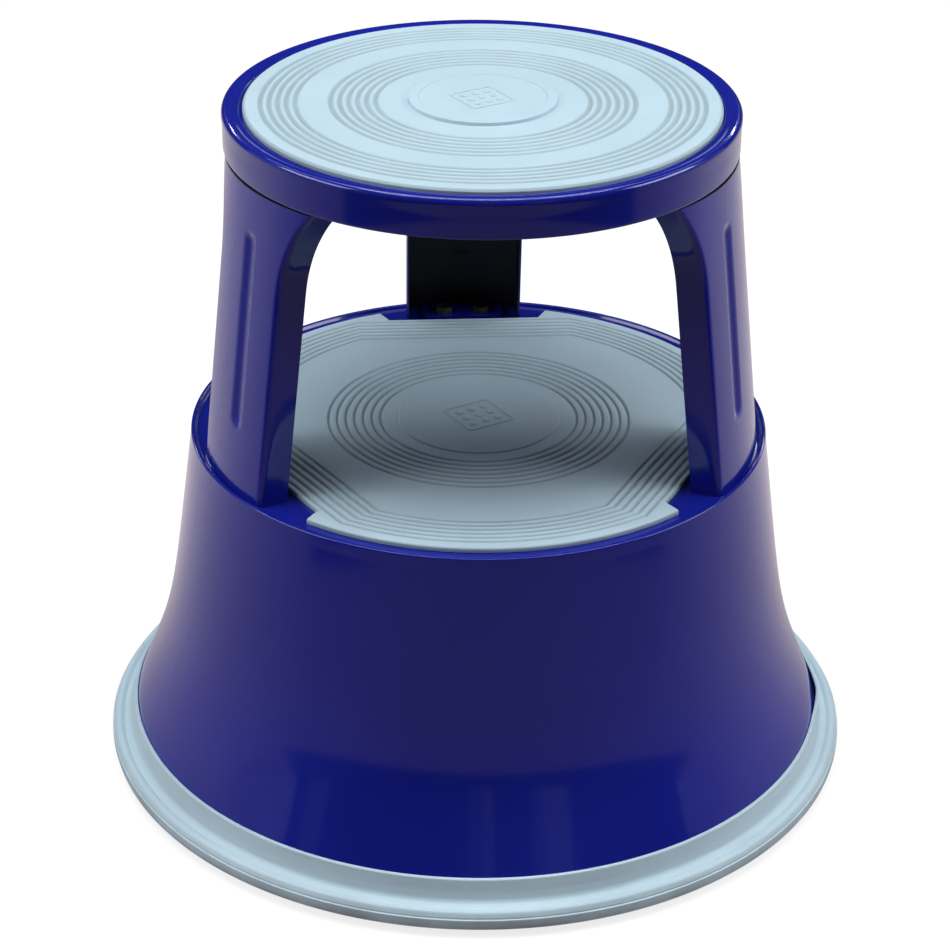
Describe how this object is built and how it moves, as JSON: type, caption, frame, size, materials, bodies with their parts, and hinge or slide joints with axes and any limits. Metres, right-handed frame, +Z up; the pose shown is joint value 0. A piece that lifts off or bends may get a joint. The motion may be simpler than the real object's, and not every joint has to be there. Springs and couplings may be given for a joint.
{
  "type": "kick step stool",
  "caption": "Round two-step kick stool with ribbed tread mats, pressed legs, a flared base drum, a bumper ring and hidden sprung castors.",
  "frame": {"origin": "on the floor under the centre of the stool, at the castors' lowest points", "axes": "+Z up along the stool's axis; +Y towards the rear leg; +X to the right seen from the front"},
  "size_m": [0.456, 0.456, 0.4148],
  "materials": {
    "paint": "gloss ultramarine blue powder coat on pressed steel",
    "tread_mat": "satin pale blue-grey ribbed tread mat",
    "bumper": "satin mid grey-blue moulded bumper ring",
    "zinc_steel": "bright zinc plate",
    "spring_steel": "dark oiled steel",
    "hub_plastic": "moulded dark plastic",
    "castor_tyre": "grey non-marking tread"
  },
  "bodies": {
    "stool": {"top_step_pan": "paint", "top_mat": "tread_mat", "base_drum": "paint", "step_mat": "tread_mat", "bumper_ring": "bumper", "leg_rear": "paint", "foot_bolt_rear_1": "spring_steel", "foot_nut_rear_1": "zinc_steel", "foot_bolt_rear_2": "spring_steel", "foot_nut_rear_2": "zinc_steel", "leg_left": "paint", "foot_bolt_left_1": "spring_steel", "foot_nut_left_1": "zinc_steel", "foot_bolt_left_2": "spring_steel", "foot_nut_left_2": "zinc_steel", "leg_right": "paint", "foot_bolt_right_1": "spring_steel", "foot_nut_right_1": "zinc_steel", "foot_bolt_right_2": "spring_steel", "foot_nut_right_2": "zinc_steel", "castor_bracket_front": "zinc_steel", "castor_socket_front": "zinc_steel", "castor_spring_front": "spring_steel", "castor_bracket_right": "zinc_steel", "castor_socket_right": "zinc_steel", "castor_spring_right": "spring_steel", "castor_bracket_left": "zinc_steel", "castor_socket_left": "zinc_steel", "castor_spring_left": "spring_steel"},
    "castor_front_plunger": {"castor_stem_front": "zinc_steel", "castor_clip_front": "spring_steel"},
    "castor_front_swivel": {"castor_fork_front": "zinc_steel", "castor_axle_front": "zinc_steel"},
    "castor_front_wheel": {"castor_hub_front": "hub_plastic", "castor_tyre_front": "castor_tyre"},
    "castor_right_plunger": {"castor_stem_right": "zinc_steel", "castor_clip_right": "spring_steel"},
    "castor_right_swivel": {"castor_fork_right": "zinc_steel", "castor_axle_right": "zinc_steel"},
    "castor_right_wheel": {"castor_hub_right": "hub_plastic", "castor_tyre_right": "castor_tyre"},
    "castor_left_plunger": {"castor_stem_left": "zinc_steel", "castor_clip_left": "spring_steel"},
    "castor_left_swivel": {"castor_fork_left": "zinc_steel", "castor_axle_left": "zinc_steel"},
    "castor_left_wheel": {"castor_hub_left": "hub_plastic", "castor_tyre_left": "castor_tyre"}
  },
  "joints": [
    {"name": "castor_plunge_front", "type": "slide", "parent": "stool", "child": "castor_front_plunger", "axis": [0, 0, 1], "range_m": [0, 0.008], "stiffness_N_per_m": 4000, "springref_m": -0.01, "deforming": ["castor_spring_front"]},
    {"name": "castor_swivel_front", "type": "hinge", "parent": "castor_front_plunger", "child": "castor_front_swivel", "pos_m": [0, -0.15, 0.045], "axis": [0, 0, 1], "continuous": true},
    {"name": "castor_roll_front", "type": "hinge", "parent": "castor_front_swivel", "child": "castor_front_wheel", "pos_m": [0, -0.134, 0.02], "axis": [1, 0, 0], "continuous": true},
    {"name": "castor_plunge_right", "type": "slide", "parent": "stool", "child": "castor_right_plunger", "axis": [0, 0, 1], "range_m": [0, 0.008], "stiffness_N_per_m": 4000, "springref_m": -0.01, "deforming": ["castor_spring_right"]},
    {"name": "castor_swivel_right", "type": "hinge", "parent": "castor_right_plunger", "child": "castor_right_swivel", "pos_m": [0.1299, 0.075, 0.045], "axis": [0, 0, 1], "continuous": true},
    {"name": "castor_roll_right", "type": "hinge", "parent": "castor_right_swivel", "child": "castor_right_wheel", "pos_m": [0.14376, 0.067, 0.02], "axis": [-0.5, -0.866, 0], "continuous": true},
    {"name": "castor_plunge_left", "type": "slide", "parent": "stool", "child": "castor_left_plunger", "axis": [0, 0, 1], "range_m": [0, 0.008], "stiffness_N_per_m": 4000, "springref_m": -0.01, "deforming": ["castor_spring_left"]},
    {"name": "castor_swivel_left", "type": "hinge", "parent": "castor_left_plunger", "child": "castor_left_swivel", "pos_m": [-0.1299, 0.075, 0.045], "axis": [0, 0, 1], "continuous": true},
    {"name": "castor_roll_left", "type": "hinge", "parent": "castor_left_swivel", "child": "castor_left_wheel", "pos_m": [-0.14376, 0.067, 0.02], "axis": [-0.5, 0.866, 0], "continuous": true}
  ]
}
